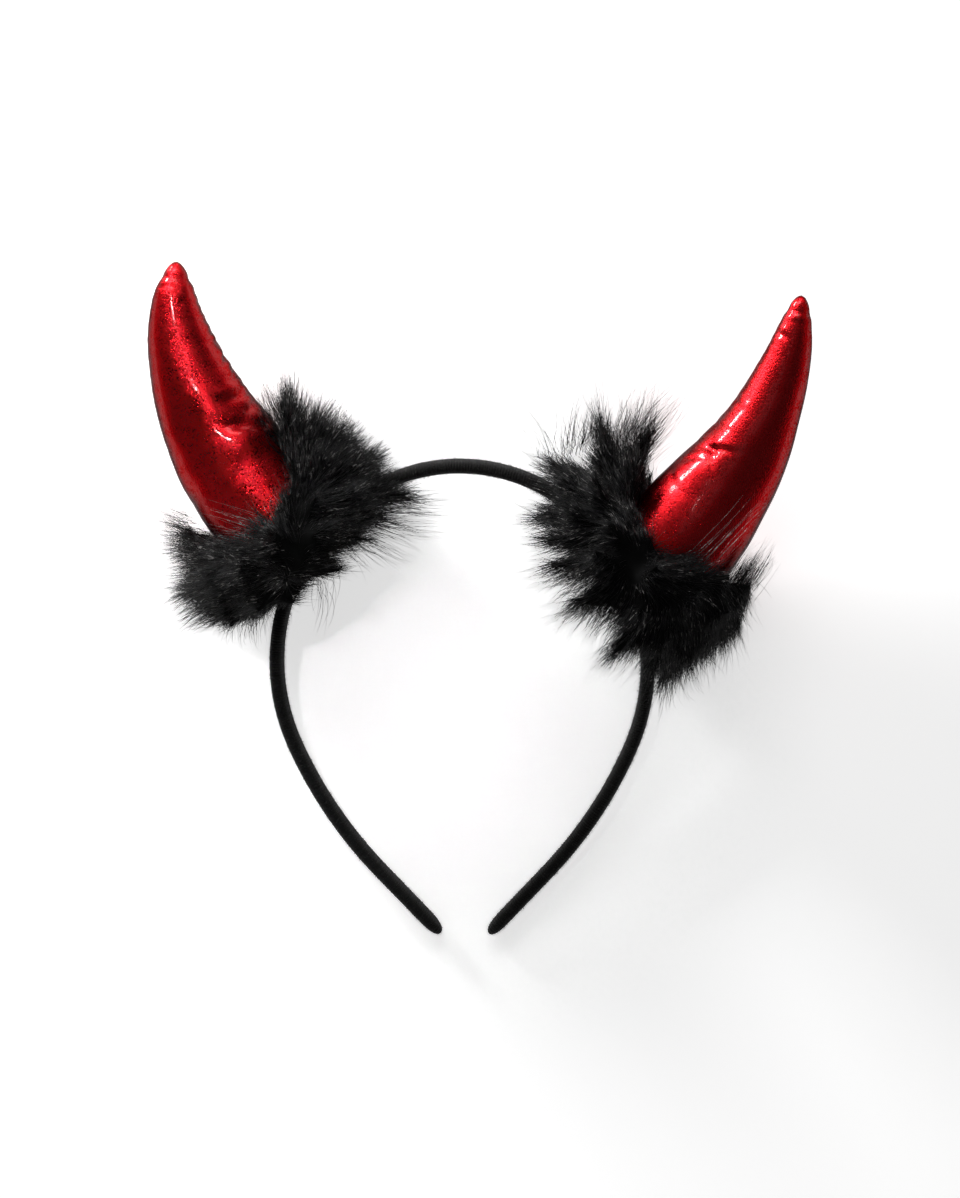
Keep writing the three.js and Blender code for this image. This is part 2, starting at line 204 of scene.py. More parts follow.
# %% [markdown]
# ## The horns' skins
# A real horn is two curved pieces of foil printed cloth, sewn together along the inner and
# the outer curve, turned inside out and stuffed. The sweep gives the tailor's pattern. A
# cloth simulation then blows it up from inside like the stuffing does, while the foot is held by
# the hoop, and each point may move only a little, so the horn keeps its measured size.

# %% Sweep and stuff the horns
HORN_SIDES = 48
HORN_STEPS = 40
SLACK, SLACK_SHARE = 0.5, 0.15
MAX_SWELL = 1.3
HELD_FOOT = 6
STUFFING_FRAMES = 20


def horn_coordinates(horn, points):
    """For points in mm: distance along the horn, shares of the half sizes across and deep,
    and the index of the nearest point of the horn's line."""
    line, heading, across, deep = horn_line(horn, FINE_STEPS)
    flat = points[:, None, :2] - line[None, :, :2]
    nearest = (flat ** 2).sum(2).argmin(1)
    towards_crown = -horn["side"] * np.stack([np.cos(heading), -np.sin(heading)], 1)[nearest]
    aside = ((points[:, :2] - line[nearest, :2]) * towards_crown).sum(1)
    along = nearest / FINE_STEPS * horn["length"]
    return along, aside / across[nearest], points[:, 2] / deep[nearest], nearest


def stuff(piece, horn):
    """Swells the skin with a short cloth simulation, then limits how far it moved."""
    before = points_of(piece)
    along = horn_coordinates(horn, before)[0]
    held = piece.vertex_groups.new(name="held")
    held.add([int(i) for i in np.nonzero(along < HELD_FOOT)[0]], 1.0, "REPLACE")
    bpy.context.view_layer.objects.active = piece
    cloth = piece.modifiers.new("stuffing", "CLOTH")
    cloth.settings.quality = 5
    cloth.settings.mass = 0.15
    cloth.settings.tension_stiffness = 25
    cloth.settings.compression_stiffness = 10
    cloth.settings.shear_stiffness = 8
    cloth.settings.bending_stiffness = 0.3
    cloth.settings.use_pressure = True
    cloth.settings.uniform_pressure_force = 4
    cloth.settings.effector_weights.gravity = 0
    cloth.settings.vertex_group_mass = "held"
    for number in range(1, STUFFING_FRAMES + 1):
        bpy.context.scene.frame_set(number)
    bpy.ops.object.select_all(action="DESELECT")
    piece.select_set(True)
    bpy.ops.object.modifier_apply(modifier="stuffing")
    bpy.context.scene.frame_set(1)
    moved = points_of(piece) - before
    far = np.linalg.norm(moved, axis=1, keepdims=True)
    set_points(piece, before + moved * np.minimum(1, MAX_SWELL / np.maximum(far, 1e-9)))
    print(piece.name, "swelled by", far.mean().round(2), "mm on average, at most", far.max().round(2))


skins = {}
for name, horn in HORNS.items():
    line, heading, across, deep = horn_line(horn, HORN_STEPS)
    slim = np.minimum(SLACK, across * SLACK_SHARE)
    rings = list(zip(line, heading, across - slim, deep - slim))
    skins[name] = sweep(f"horn_skin_{name}", HORN_SIDES, rings)
    stuff(skins[name], horn)
    apply_modifier(skins[name], "SUBSURF", levels=2, render_levels=2)

# %% [markdown]
# ## Seams, puckers and dents
# Foil cloth doesn't stretch, so on the inner curve, where there is too much of it, it gathers
# into short folds that run in from the seam, and where the stuffing is thin it sinks. Each
# fold is a row of a table: where it is, how long, how wide and how deep, and which way it
# runs. Moving points along their normals by the sum of the rows presses them all in.

# %% Press seams, folds and dents into the skins
# Stitches and gathers of a seam: how far apart along it and how wide across it (mm).
STITCH_PITCH, STITCH_WIDTH = 2.2, 0.5
GATHER_PITCH, GATHER_WIDTH = 4.3, 3.2
# A fold wavers this far to either side (mm), in waves that follow this length (mm), and
# pushes up a lip beside it (share of its depth, share of its width).
WAVER, WAVER_LENGTH = 0.8, 4
LIP_DEPTH, LIP_WIDTH = 0.45, 1.3
# The cloth is uneven by this much (mm). Seams and unevenness fade out so near the tip (mm).
UNEVEN, TIP_FADE = 0.05, 9
# The neck where the tip was turned out: how far from the end, width and depth (mm).
NECK_PLACE, NECK_WIDTH, NECK_DEPTH = 5.2, 1.6, 0.35
# Seams: degrees from the crown side over the front, depth and gathers (mm).
SEAMS = {
    "left": [(4, 0.12, 0.2), (176, 0.1, 0.05)],
    "right": [(14, 0.1, 0.06), (152, 0.07, 0.03)],
}
# Folds: along (mm), round (degrees), half length (mm), half width (mm), depth (mm), slant
# (degrees from straight across the horn).
FOLDS = {
    "left": [
        (49, 54, 6.5, 2.0, 0.8, 34), (58.5, 30, 8, 1.8, 1.0, 8), (44, 22, 6, 1.6, 0.6, 25),
        (53, 20, 6, 1.3, 0.5, -8), (66, 16, 6, 1.2, 0.45, -8), (72, 12, 5, 1.1, 0.4, -14),
        (80, 12, 5, 1.0, 0.35, 10), (37, 150, 9, 3.0, 0.35, -20), (50, 134, 9, 3.4, 0.4, 15),
        (97, 40, 4, 0.8, 0.3, 0), (101, 120, 4, 0.8, 0.3, 5), (60, -40, 9, 1.6, 0.6, 10),
        (47, -60, 10, 2.0, 0.7, -12), (75, -30, 7, 1.4, 0.5, 8),
    ],
    "right": [
        (53.5, 44, 3.8, 1.3, 0.45, 20), (51, 56, 7, 1.3, 0.4, -38), (56, 60, 6, 1.2, 0.3, 30),
        (47, 34, 5, 1.0, 0.25, 45), (62, 30, 5, 1.1, 0.22, 12), (72, 26, 5, 1.0, 0.2, -8),
        (38, 30, 5, 1.2, 0.25, -10), (99, 50, 3, 0.8, 0.3, 0), (104, 100, 3, 0.8, 0.3, 8),
        (50, -45, 9, 1.6, 0.7, 12), (64, -38, 8, 1.5, 0.5, -10), (40, -70, 10, 2.2, 0.6, 14),
    ],
}
# Dents: along (mm), round (degrees), half size along and across (mm), depth (mm, minus swells).
DENTS = {
    "left": [(52, 40, 4, 6, 0.7), (55, 106, 9, 6, 0.9), (43, 60, 6, 7, -1.1), (62, 74, 9, 7, -0.5),
             (30, 120, 9, 9, 0.5), (36, 84, 5, 8, 0.35)],
    "right": [(54, 46, 3, 3.5, 0.3), (56, 112, 16, 7, 0.7), (44, 48, 7, 6, -0.5), (64, 50, 9, 5, -0.4),
              (28, 84, 9, 10, -0.4)],
}


def round_from(degrees, angle, radius):
    """How far round a horn points are from a line at so many degrees, in millimetres."""
    gap = angle - math.radians(degrees)
    return np.arctan2(np.sin(gap), np.cos(gap)) * radius


def pressed_in(name, points):
    """How far each point of a skin sinks, in millimetres, with its place along and round."""
    horn = HORNS[name]
    along, aside, front, nearest = horn_coordinates(horn, points)
    radius = horn_line(horn, FINE_STEPS)[2][nearest]
    angle = np.arctan2(front, aside)
    fade = np.clip((horn["length"] - along) / TIP_FADE, 0, 1) ** 1.5
    sink = np.zeros(len(points))
    for index, (degrees, depth, gather) in enumerate(SEAMS[name]):
        away = round_from(degrees, angle, radius)
        stitches = 1 + 0.5 * np.sin(along * 2 * math.pi / STITCH_PITCH + index)
        sink += depth * stitches * np.exp(-(away / STITCH_WIDTH) ** 2) * fade
        gathers = np.sin(along * 2 * math.pi / GATHER_PITCH + 1.7 * np.sin(along / 5) + index)
        sink += gather * gathers * np.exp(-(away / GATHER_WIDTH) ** 2) * fade
    for place, degrees, long, wide, depth, slant in FOLDS[name]:
        away, ahead = round_from(degrees, angle, radius), along - place
        lean = math.radians(slant)
        run = away * math.cos(lean) + ahead * math.sin(lean)
        off = ahead * math.cos(lean) - away * math.sin(lean) + WAVER * np.sin(run / WAVER_LENGTH)
        fall = np.exp(-(run / long) ** 2)
        lip = LIP_DEPTH * np.exp(-((off - 2 * wide) / wide / LIP_WIDTH) ** 2)
        sink += depth * fall * (np.exp(-(off / wide) ** 2) - lip)
    for place, degrees, long, wide, depth in DENTS[name]:
        away, ahead = round_from(degrees, angle, radius), along - place
        sink += depth * np.exp(-(ahead / long) ** 2 - (away / wide) ** 2)
    uneven = np.sin(along / 3.1 + 2 * np.sin(2 * angle)) * np.sin(3 * angle + along / 9)
    sink += UNEVEN * uneven * fade
    neck = np.exp(-((horn["length"] - along - NECK_PLACE) / NECK_WIDTH) ** 2)
    return sink + NECK_DEPTH * neck, along, angle


for name, skin in skins.items():
    normals = np.empty(len(skin.data.vertices) * 3)
    skin.data.vertices.foreach_get("normal", normals)
    points = points_of(skin)
    sink, along, angle = pressed_in(name, points)
    set_points(skin, points - normals.reshape(-1, 3) * sink[:, None])
    for key, values in (("along", along), ("around", angle)):
        attribute = skin.data.attributes.new(key, "FLOAT", "POINT")
        attribute.data.foreach_set("value", values.astype(np.float32))
    skin.data.shade_smooth()
    skin.data.transform(PLANE)
    print(skin.name, "faces", len(skin.data.polygons), "deepest fold", sink.max().round(2), "mm")

# %% [markdown]
# ## Handing a piece over
# A finished piece is told which body it moves with, and the part of the measured model that
# it stands for is hidden.

# %% Hand the horns over
for name, skin in skins.items():
    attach(skin, "root")
    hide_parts(f"horn_{name}")

# %% [markdown]
# ## The hoop
# The hoop is a plastic strip pulled into a velvet sleeve. The sleeve makes its section a
# soft oblong, and its ends are blunt points where the cloth is folded in. It is one sweep
# from end to end, and keeps its distance along the strip as an attribute, because the ribs of
# the cloth follow the strip and not the room.

# %% Sweep the hoop
HOOP_WIDTH, END_THICKNESS, END_WIDTH, END_TAPER = 10.0, 4.7, 8.4, 6.0
HOOP_STATIONS, HOOP_SIDES, HOOP_SQUARENESS = 48, 20, 2.6
# How far along each tapered end (share), and how thick it still is there (share).
END_ROUNDING = [(0.3, 0.95), (0.55, 0.85), (0.78, 0.69), (0.92, 0.5), (0.985, 0.3), (1, 0.14)]


def hoop_ring(side, distance, size=1.0):
    """One section of the hoop: its place, heading and half sizes."""
    slim = (distance / HALF_LENGTH) ** 3
    thick = HOOP_THICKNESS + (END_THICKNESS - HOOP_THICKNESS) * slim
    wide = HOOP_WIDTH + (END_WIDTH - HOOP_WIDTH) * slim
    point, heading = hoop_place(side, distance)
    return point, heading, thick / 2 * size, wide / 2 * size


body = [(d, 1.0) for d in np.linspace(0, HALF_LENGTH - END_TAPER, HOOP_STATIONS)]
half = body + [(HALF_LENGTH - END_TAPER * (1 - share), size) for share, size in END_ROUNDING]
rings = [hoop_ring(-1, *station) for station in half[:0:-1]]
rings += [hoop_ring(1, *station) for station in half]
hoop = sweep("velvet_hoop", HOOP_SIDES, rings, squareness=HOOP_SQUARENESS)
apply_modifier(hoop, "SUBSURF", levels=1, render_levels=1)


def along_hoop(points, steps=400):
    """Distance along the hoop from its left end, for points in the hoop's plane."""
    line = np.array([hoop_place(-1, d)[0] for d in np.linspace(HALF_LENGTH, 0, steps)]
                    + [hoop_place(1, d)[0] for d in np.linspace(0, HALF_LENGTH, steps)[1:]])
    away = ((points[:, None, :2] - line[None, :, :2]) ** 2).sum(2)
    return away.argmin(1) / (len(line) - 1) * 2 * HALF_LENGTH


attribute = hoop.data.attributes.new("along", "FLOAT", "POINT")
attribute.data.foreach_set("value", along_hoop(points_of(hoop)).astype(np.float32))
hoop.data.shade_smooth()
hoop.data.transform(PLANE)
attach(hoop, "root")
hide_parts("headband")
print("hoop:", len(hoop.data.polygons), "faces, strip", round(2 * HALF_LENGTH), "mm long")

# %% [markdown]
# ## Hair, one strand at a time
# Fur and velvet are thousands of fibres. A hair here is a thin three sided spike with a
# closed foot, so it is a real piece of geometry from every side. All hairs of a coat go into
# one mesh at once, from arrays, because adding them one by one would take hours.

# %% A helper that makes a coat of strands
def coat(name, paths, thickness, glint_tone):
    """Makes one mesh of closed strands. Paths are strands x points x 3 in mm, in the plane.
    The glint tone is one number a strand, which the finish reads to paint pale glints, painted highlights,
    into the colour."""
    count, steps, _ = paths.shape
    along = np.gradient(paths, axis=1)
    along /= np.linalg.norm(along, axis=2, keepdims=True) + 1e-9
    side = np.cross(along, rng.normal(size=(count, 1, 3)))
    side /= np.linalg.norm(side, axis=2, keepdims=True) + 1e-9
    other = np.cross(along, side)
    turns = [2 * math.pi * k / 3 for k in range(3)]
    rings = np.stack([paths + (side * math.cos(a) + other * math.sin(a)) * thickness[..., None] / 2
                      for a in turns], 2)[:, :-1]
    points = np.concatenate([rings.reshape(count, -1, 3), paths[:, -1:]], 1)
    per = points.shape[1]
    ring = [[3 * i + k % 3 for k in range(4)] for i in range(steps - 1)]
    quads = [[low[k], low[k + 1], high[k + 1], high[k]]
             for low, high in zip(ring, ring[1:]) for k in range(3)]
    ends = [[ring[-1][k], ring[-1][k + 1], per - 1] for k in range(3)] + [[0, 2, 1]]
    start = (np.arange(count) * per)[:, None, None]
    faces = (start + np.array(quads)[None]).reshape(-1, 4).tolist() if quads else []
    faces += (start + np.array(ends)[None]).reshape(-1, 3).tolist()
    mesh = bpy.data.meshes.new(name)
    mesh.from_pydata((points.reshape(-1, 3) * MM).tolist(), [], faces)
    mesh.transform(PLANE)
    mesh.shade_smooth()
    mesh.attributes.new("glint_tone", "FLOAT", "POINT").data.foreach_set(
        "value", np.repeat(glint_tone, per).astype(np.float32))
    piece = bpy.data.objects.new(name, mesh)
    bpy.context.scene.collection.objects.link(piece)
    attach(piece, "root")
    print(name, count, "strands,", count * (6 * (steps - 2) + 4), "triangles")
    return piece


def scattered(piece_mesh, count):
    """Random spots on a mesh, evenly over its area, and the normals there, as in the mesh."""
    piece_mesh.calc_loop_triangles()
    tris = np.array([t.vertices for t in piece_mesh.loop_triangles])
    points = np.array([v.co for v in piece_mesh.vertices])
    corners = points[tris]
    cross = np.cross(corners[:, 1] - corners[:, 0], corners[:, 2] - corners[:, 0])
    area = np.linalg.norm(cross, axis=1)
    chosen = rng.choice(len(tris), count, p=area / area.sum())
    a, b = rng.random((2, count, 1))
    over = a + b > 1
    a, b = np.where(over, 1 - a, a), np.where(over, 1 - b, b)
    corner = corners[chosen]
    spots = corner[:, 0] + a * (corner[:, 1] - corner[:, 0]) + b * (corner[:, 2] - corner[:, 0])
    return spots, cross[chosen] / area[chosen][:, None]


def to_plane(points, normals):
    """World points in metres and normals, as millimetres in the hoop's plane."""
    axes = np.array([ACROSS, UP, FRONT])
    return (points - crown) @ axes.T / MM, normals @ axes.T


def height_of(points):
    """Height over the table, in mm, of points in the hoop's plane."""
    return crown[2] / MM + points[..., 1] * UP[2] + points[..., 2] * FRONT[2]


def above_table(points, room):
    """Lifts points in the hoop's plane that would sink into the table; room in mm."""
    points[..., 2] += np.maximum(room - height_of(points), 0) / FRONT[2]
    return points


def unit(vectors):
    """The same directions, with length one."""
    return vectors / (np.linalg.norm(vectors, axis=-1, keepdims=True) + 1e-9)


# %% [markdown]
# ## Velvet pile
# Velvet shows at its edge: against the light the pile stands out as a thin fuzz. The body of
# the velvet is left to the material, and only the fuzz is made, as short spikes all over the
# hoop.

# %% Grow the pile
PILE_COUNT, PILE_LENGTH, PILE_THICKNESS = 15000, 1.05, 0.1
# How far the pile's directions scatter, how deep its roots sit and its room over the table (mm).
PILE_SCATTER, PILE_ROOT, PILE_ROOM = 0.4, 0.1, 0.06
spots, normals = to_plane(*scattered(hoop.data, PILE_COUNT))
lengths = PILE_LENGTH * rng.uniform(0.5, 1.25, (PILE_COUNT, 1))
ways = unit(normals + rng.normal(scale=PILE_SCATTER, size=normals.shape))
paths = np.stack([spots - PILE_ROOT * normals, spots + ways * lengths], 1)
paths = above_table(paths, PILE_ROOM)
thick = np.full(paths.shape[:2], PILE_THICKNESS)
pile = coat("velvet_pile", paths, thick, rng.random(PILE_COUNT))

# %% [markdown]
# ## The padded ring under the fur
# Under the long hair is a ring of woven backing with a dense, dark underfur. It is only seen
# between hairs, so a copy of the measured collar will do. Remeshing and smoothing round off
# its locks, and it is drawn in a little so that the hair has room to grow on it. Its front is
# pushed up or down along the horn to the line where the photo shows the foil end, and its
# inner wall is pressed to the horn, as the glued fur strip is.

# %% Make the underfur from a copy of each collar
# The collar's middle ring: how far up the horn, how far out of it and how far it waves (mm).
RING_RISE, RING_OUT, RING_WAVE, RING_STEPS = 7.0, 5.1, 4, 110
VOXEL, SMOOTHINGS, DRAWN_IN = 1.6, 30, 0.95
# How far the front of the collar is pushed up along the horn: round (degrees), mm.
RAISED = {"left": [(0, 7), (25, 5), (50, -3), (80, 0.5), (105, 3), (150, 3), (180, 2)],
          "right": [(0, -5), (45, -5), (70, -1), (90, 5), (120, 9), (150, 8), (180, 4)]}
# It starts so far behind the middle of the ring and is whole after so many millimetres more.
# The sharpness says how quickly it sets in from the back of the collar to its front.
RAISE_FROM, RAISE_OVER, FRONT_SHARPNESS = 3, 8, 4
# Nearer to the horn than this many of its half sizes, the ring is pressed in, by up to so
# many millimetres.
SNUG_FROM, SNUG_OVER, SNUG_PUSH = 1.3, 0.15, 3.2
RING_ROOM = 0.05


def ring_place(horn, around):
    """Points of the collar's own middle ring, at angles from the crown side over the front,
    with its centre, the way to the crown side and the way along the horn."""
    line, heading, _, _ = horn_line(horn, RING_STEPS)
    index = int(round(RING_RISE / horn["length"] * RING_STEPS))
    centre, turn = line[index], heading[index]
    towards_crown = -horn["side"] * np.array([math.cos(turn), -math.sin(turn), 0])
    ahead = np.array([math.sin(turn), math.cos(turn), 0])
    wide, deep = FOOT_WIDTH / 2 + RING_OUT, FOOT_DEPTH / 2 + RING_OUT
    ring = (centre + wide * np.cos(around)[:, None] * towards_crown
            + deep * np.sin(around)[:, None] * np.array([0, 0, 1.0])
            + RING_WAVE * np.cos(2 * around)[:, None] * ahead)
    return ring, centre, towards_crown, ahead


def nearest_on_ring(horn, points):
    """The angle round the collar of each point, and the ring's point there."""
    _, centre, towards_crown, _ = ring_place(horn, np.zeros(1))
    around = np.arctan2(points[:, 2] / (FOOT_DEPTH / 2 + RING_OUT),
                        (points - centre) @ towards_crown / (FOOT_WIDTH / 2 + RING_OUT))
    return around, ring_place(horn, around)[0]


underfur = {}
for name, horn in HORNS.items():
    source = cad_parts[f"fur_collar_{name}"]
    bpy.ops.object.select_all(action="DESELECT")
    mesh = source.data.copy()
    mesh.transform(PLANE.inverted())
    copy = bpy.data.objects.new(f"underfur_{name}", mesh)
    bpy.context.scene.collection.objects.link(copy)
    bpy.context.view_layer.objects.active = copy
    copy.select_set(True)
    bpy.ops.object.mode_set(mode="EDIT")
    bpy.ops.mesh.select_all(action="SELECT")
    bpy.ops.mesh.remove_doubles(threshold=0.00001)
    bpy.ops.object.mode_set(mode="OBJECT")
    apply_modifier(copy, "REMESH", mode="VOXEL", voxel_size=VOXEL * MM)
    apply_modifier(copy, "SMOOTH", factor=0.5, iterations=SMOOTHINGS)
    points = points_of(copy)
    around, middle_ring = nearest_on_ring(horn, points)
    points = middle_ring + (points - middle_ring) * DRAWN_IN
    _, centre, _, ahead = ring_place(horn, np.zeros(1))
    front = np.clip(points[:, 2] / FOOT_DEPTH * FRONT_SHARPNESS + 0.5, 0, 1)
    raised = np.interp(np.degrees(around), *np.array(RAISED[name]).T)
    rise = np.clip(((points - centre) @ ahead + RAISE_FROM) / RAISE_OVER, 0, 1)
    points = points + ahead * (raised * front * rise)[:, None]
    _, aside, deep, nearest = horn_coordinates(horn, points)
    inward = horn_line(horn, FINE_STEPS)[0][nearest] - points
    close = np.clip((SNUG_FROM - np.hypot(aside, deep)) / SNUG_OVER, 0, 1) * SNUG_PUSH
    set_points(copy, above_table(points + unit(inward) * close[:, None], RING_ROOM))
    copy.data.shade_smooth()
    copy.data.transform(PLANE)
    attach(copy, "root")
    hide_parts(f"fur_collar_{name}")
    underfur[name] = copy
    print(copy.name, len(copy.data.polygons), "faces")

# %% [markdown]
# ## Where the fur is brushed
# The fur was ruffled by hand, so no rule says which way it lies. A table says it instead: at
# some places picked in the photo, which way the hair lies and how long it is. A second
# table holds the wisps that stick out, and a third the strays that lie over the horns. The
# picks are in the photo's pixels, so that each can be found again in the picture. The camera
# sees the hoop's plane at three pixels to the millimetre, which turns them into places there.

# %% The fur's tables
PIXELS_PER_MM = 3.0
PHOTO_MIDDLE = (480, 599)
VIEW_POINT = (6.48, -44.66, 0.0)


def from_photo(x, y):
    """The place in the hoop's plane of a pixel of the photo, to a tenth of a millimetre."""
    return (round((x - PHOTO_MIDDLE[0]) / PIXELS_PER_MM + VIEW_POINT[0], 1),
            round((PHOTO_MIDDLE[1] - y) / PIXELS_PER_MM + VIEW_POINT[1], 1))


# Where the brush goes: pixel x and y, way across and up, length (share).
BRUSH_PICKS = {
    "left": [
        (172, 515, -1, 0.35, 1), (185, 560, -1, -0.05, 0.8), (200, 600, -0.95, -0.45, 0.9),
        (235, 625, -0.95, -0.35, 0.55), (262, 622, -0.9, -0.4, 0.4), (230, 545, -1, -0.05, 0.9),
        (230, 580, -1, -0.2, 0.9), (280, 540, -0.85, -0.08, 0.9), (285, 585, -0.95, -0.25, 0.6),
        (312, 585, 0.85, 0.15, 0.4), (350, 552, 0.95, 0.1, 0.6), (400, 530, 1, -0.05, 1.1),
        (430, 508, 1, 0.12, 1.1), (330, 500, 0.7, 0.05, 0.8), (290, 390, -0.05, 1, 0.9),
        (268, 385, -0.4, 1, 0.9), (330, 410, 0.45, 0.9, 0.8), (360, 440, 0.65, 0.75, 0.8),
        (378, 470, 0.8, 0.5, 0.8), (300, 460, 0.1, 1, 0.8), (290, 500, -0.3, 0.9, 0.5),
    ],
    "right": [
        (600, 420, -0.25, 1, 1), (640, 420, 0.35, 1, 1), (665, 410, 0.55, 0.9, 1),
        (560, 440, -0.65, 0.75, 1), (545, 490, -0.95, 0.25, 0.9), (540, 530, -1, -0.05, 0.9),
        (540, 570, -1, -0.3, 1), (580, 600, -0.75, -0.6, 1), (610, 650, -0.7, -0.75, 1),
        (640, 600, -0.45, -0.8, 0.8), (600, 540, -0.85, -0.45, 0.9), (600, 490, -0.7, 0.35, 0.9),
        (660, 560, 0.5, -0.2, 0.8), (700, 600, 0.05, -1, 0.6), (690, 670, -0.2, -1, 0.7),
        (715, 645, -0.1, -1, 0.45), (740, 575, 0.05, -1, 0.4), (762, 540, 0.3, -0.5, 0.35),
        (620, 470, -0.3, 0.9, 0.9), (700, 550, 0.85, 0.35, 0.8), (640, 515, -0.2, 0.5, 0.7),
    ],
}
# Wisps: pixels of root and tip, hairs, and how far apart the tips are (mm).
WISPS = {
    "left": [
        (292, 462, 270, 405, 100, 4), (290, 445, 263, 386, 80, 3.5), (292, 440, 272, 377, 60, 3),
        (277, 418, 262, 376, 40, 3), (285, 415, 273, 371, 26, 2.5), (297, 412, 299, 373, 20, 2.5),
        (310, 420, 318, 392, 30, 4), (325, 430, 346, 408, 40, 4), (340, 445, 372, 431, 40, 4),
        (352, 465, 387, 452, 36, 4), (360, 480, 398, 466, 16, 3), (372, 505, 456, 506, 46, 4.5),
        (374, 512, 460, 517, 34, 3), (368, 512, 430, 498, 30, 4), (368, 520, 432, 540, 44, 4.5),
        (360, 530, 414, 553, 36, 4), (350, 540, 380, 562, 30, 4), (325, 570, 325, 600, 16, 3),
        (327, 578, 322, 634, 12, 1.2), (205, 598, 166, 605, 30, 3), (208, 606, 168, 631, 40, 3.5),
        (218, 612, 182, 624, 36, 4), (205, 568, 187, 580, 30, 3.5), (194, 520, 159, 502, 36, 2.5),
        (192, 528, 164, 514, 30, 3), (192, 545, 162, 537, 30, 3), (195, 555, 176, 560, 24, 3.5),
        (235, 612, 230, 637, 40, 5), (252, 612, 254, 640, 40, 5), (264, 606, 270, 628, 26, 4),
    ],
    "right": [
        (551, 462, 524, 411, 16, 1.2), (571, 450, 585, 389, 24, 2), (568, 452, 563, 414, 26, 4),
        (585, 445, 592, 408, 36, 4), (600, 440, 604, 404, 80, 5), (620, 440, 628, 400, 90, 5),
        (632, 440, 651, 378, 40, 3), (638, 440, 676, 387, 50, 3), (642, 446, 686, 397, 36, 2.5),
        (645, 460, 672, 432, 26, 4), (555, 470, 522, 450, 24, 3), (556, 480, 528, 470, 26, 4),
        (563, 500, 540, 498, 24, 4), (565, 513, 538, 518, 30, 4), (565, 536, 533, 538, 30, 4),
        (571, 560, 518, 579, 30, 2.5), (574, 575, 538, 592, 36, 4), (585, 590, 560, 620, 40, 4),
        (600, 600, 580, 625, 30, 4), (612, 610, 590, 640, 30, 4), (626, 625, 598, 656, 30, 3),
        (636, 645, 607, 679, 16, 1.6), (636, 610, 615, 650, 24, 3), (685, 640, 710, 664, 40, 4),
        (682, 655, 692, 690, 50, 5), (672, 662, 664, 708, 50, 4), (660, 660, 650, 690, 24, 4),
        (700, 615, 722, 632, 30, 4), (740, 570, 748, 592, 30, 4), (722, 592, 750, 556, 100, 2.5),
        (730, 590, 760, 546, 110, 2.5), (738, 590, 768, 540, 80, 2),
    ],
}
# Strays that lie over the horns, the same way.
STRAYS = {
    "left": [(278, 520, 213, 497, 7, 2), (282, 530, 206, 511, 10, 2), (270, 534, 226, 524, 8, 2)],
    "right": [(705, 548, 762, 488, 9, 1.6), (716, 556, 766, 505, 6, 2)],
}
BRUSH = {name: np.array([[*from_photo(x, y), *rest] for x, y, *rest in rows])
         for name, rows in BRUSH_PICKS.items()}
for name in HORNS:
    hairs = sum(row[4] for row in WISPS[name] + STRAYS[name])
    print(name, "fur:", len(BRUSH[name]), "brush marks,", hairs, "hairs in wisps and strays")

# %% [markdown]
# ## Growing hair
# Hair grows out of the ring and is brushed: each hair leaves along the brush, lifted a little
# from the ring. Farther out it is turned on by the brush, sags, and clings more and more to a
# leader near it, which makes pointed tufts. It can't go into the horn or the table, so it is
# laid along them.

# %% Helpers that grow, brush and draw hairs
# Hair stays outside this share of the horn's half sizes, except at its very foot and tip (mm).
SKIN_GAP, BARE_ENDS = 1.035, 1
# Room over the table (mm). Hair that would come lower keeps this share of its height, counted
# from so far under the table (mm), so that it is laid in layers.
FLOOR_ROOM, FLOOR_KEEP, FLOOR_DEPTH = 0.25, 0.12, 4
# How softly the brush marks blend (square mm), and how far ahead a hair feels the next (mm).
BRUSH_BLEND, BRUSH_AHEAD = 10, 6
# Shares of a hair's length: how far the brush turns it, how far it sags.
BRUSH_TURN, SAG = 0.35, 0.1
# Roots: how many are tried for each that stays, how deep they sit (mm), how far ways scatter.
ROOT_TRIES, ROOT_DEPTH, WAY_SCATTER = 2.4, 0.6, 0.13
# No roots against the horn up to this far along it, none so near the table (mm).
ROOT_GAP, ROOT_REACH, ROOT_HEIGHT = 1.04, 40, 2
# Hair on the back of the collar, behind this depth (mm), is at least so long (share).
BACK_DEPTH, BACK_LENGTH = 4, 0.75
# Wisps: scatter of the roots across and in depth (mm), and of the tips (share of the row's).
WISP_ROOTS, WISP_DEPTH, WISP_TIPS, WISP_POINTS = 2.2, 1.5, 0.45, 6
# Wisps start at this share of the depth of the ring, looked up so far to the front (mm).
WISP_START, WISP_FORWARD = 0.7, 6.0
# Strays lie over the horn's front, so many times its depth and so much higher (mm). Beside the
# horn they stay at its depth where this share of its round is left.
STRAY_DEPTH, STRAY_LIFT, STRAY_EDGE = 1.05, 0.8, 0.35


def kept_out(horn, paths):
    """Moves hairs out of the horn and up from the table."""
    flat = paths.reshape(-1, 3)
    along, aside, front, nearest = horn_coordinates(horn, flat)
    radius = np.hypot(aside, front)
    inside = (radius < SKIN_GAP) & (along > BARE_ENDS) & (along < horn["length"] - BARE_ENDS)
    push = np.where(inside, SKIN_GAP / np.maximum(radius, 0.2), 1.0)[:, None]
    line = horn_line(horn, FINE_STEPS)[0]
    flat = np.where(inside[:, None], line[nearest] + (flat - line[nearest]) * push, flat)
    height = height_of(flat)
    low = FLOOR_ROOM + FLOOR_KEEP * np.maximum(height + FLOOR_DEPTH, 0)
    flat[:, 2] += np.maximum(low - height, 0) / FRONT[2]
    return flat.reshape(paths.shape)


